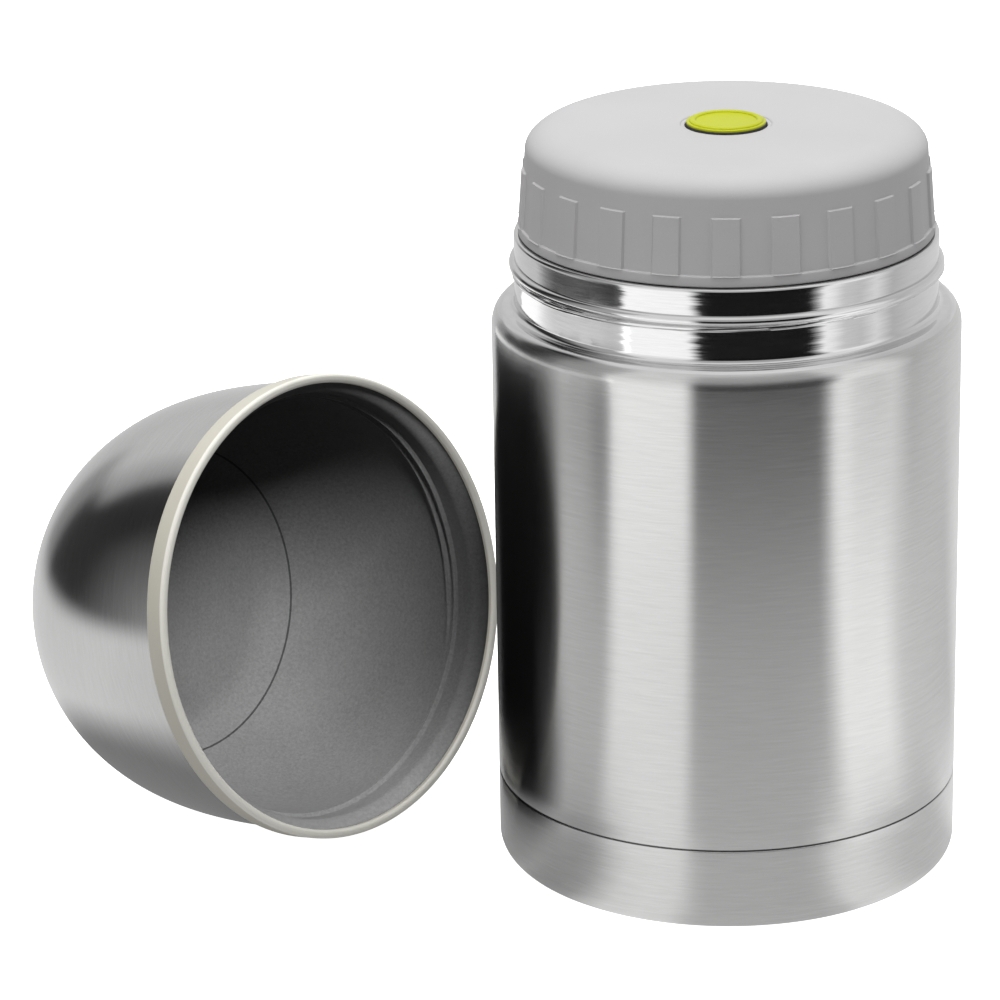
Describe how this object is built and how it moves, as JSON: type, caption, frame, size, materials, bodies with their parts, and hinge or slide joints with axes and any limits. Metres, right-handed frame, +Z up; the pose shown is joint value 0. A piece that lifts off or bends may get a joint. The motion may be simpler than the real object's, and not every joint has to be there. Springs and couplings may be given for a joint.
{
  "type": "insulated food jar",
  "caption": "Vacuum-insulated steel food jar with a screw-in ribbed stopper, a spring-loaded release valve button and a screw-on domed cup that lies beside it.",
  "frame": {"origin": "centre of the jar's flat foot, on the floor", "axes": "+Z up along the jar's axis; the cup lies towards -X, and the pictured front is towards -Y"},
  "size_m": [0.201, 0.1162, 0.161],
  "materials": {
    "body_steel": "fine circumferential brushing",
    "neck_steel": "polished and fine turned steel of the food liner",
    "sheet_steel": "plain pressed steel sheet",
    "solder": "dull solder bead",
    "getter_metal": "dark sintered pellet",
    "foil": "thin bright metal foil",
    "grey_plastic": "matte grey moulded plastic",
    "plug_plastic": "pale grey moulded plastic",
    "foam": "light closed-cell foam",
    "silicone": "translucent white silicone",
    "button_plastic": "satin yellow-green plastic",
    "skirt_plastic": "dark grey plastic",
    "spring_steel": "spring wire",
    "cup_steel": "brushed steel dome",
    "liner_steel": "satin turned steel",
    "rim_plastic": "cream plastic ring"
  },
  "bodies": {
    "jar": {"outer_shell": "body_steel", "inner_vessel": "neck_steel", "bottom_plate": "sheet_steel", "vacuum_seal": "solder", "getter": "getter_metal", "radiation_foil": "foil", "base_cap": "body_steel"},
    "stopper_carrier": {"lip_gasket": "silicone"},
    "stopper": {"stopper_cap": "grey_plastic", "stopper_plug": "plug_plastic", "stopper_base": "plug_plastic", "stopper_insulation": "foam", "valve_guide": "plug_plastic", "valve_spring": "spring_steel"},
    "valve": {"valve_button": "button_plastic", "button_skirt": "skirt_plastic", "valve_stem": "plug_plastic", "valve_seal": "silicone", "seal_clip": "spring_steel"},
    "cup": {"cup_shell": "cup_steel", "cup_liner": "liner_steel", "cup_rim": "rim_plastic", "cup_insulation": "foam"}
  },
  "joints": [
    {"name": "stopper_rise", "type": "slide", "parent": "jar", "child": "stopper_carrier", "axis": [0, 0, 1], "range_m": [0, 0.036]},
    {"name": "stopper_turn", "type": "hinge", "parent": "stopper_carrier", "child": "stopper", "pos_m": [0, 0, 0.14], "axis": [0, 0, 1], "range_deg": [0, 1080]},
    {"name": "valve_press", "type": "slide", "parent": "stopper", "child": "valve", "axis": [0, 0, 1], "range_m": [-0.002, 0], "stiffness_N_per_m": 300, "springref_m": 0.004, "deforming": ["valve_spring"]},
    {"name": "cup_lift", "type": "slide", "parent": "jar", "child": "cup", "axis": [0, 0, 1], "range_m": [0, 0.2]}
  ],
  "couplings": [
    {"joint": "stopper_rise", "follows": "stopper_turn", "m_per_rad": 0.0019099}
  ]
}
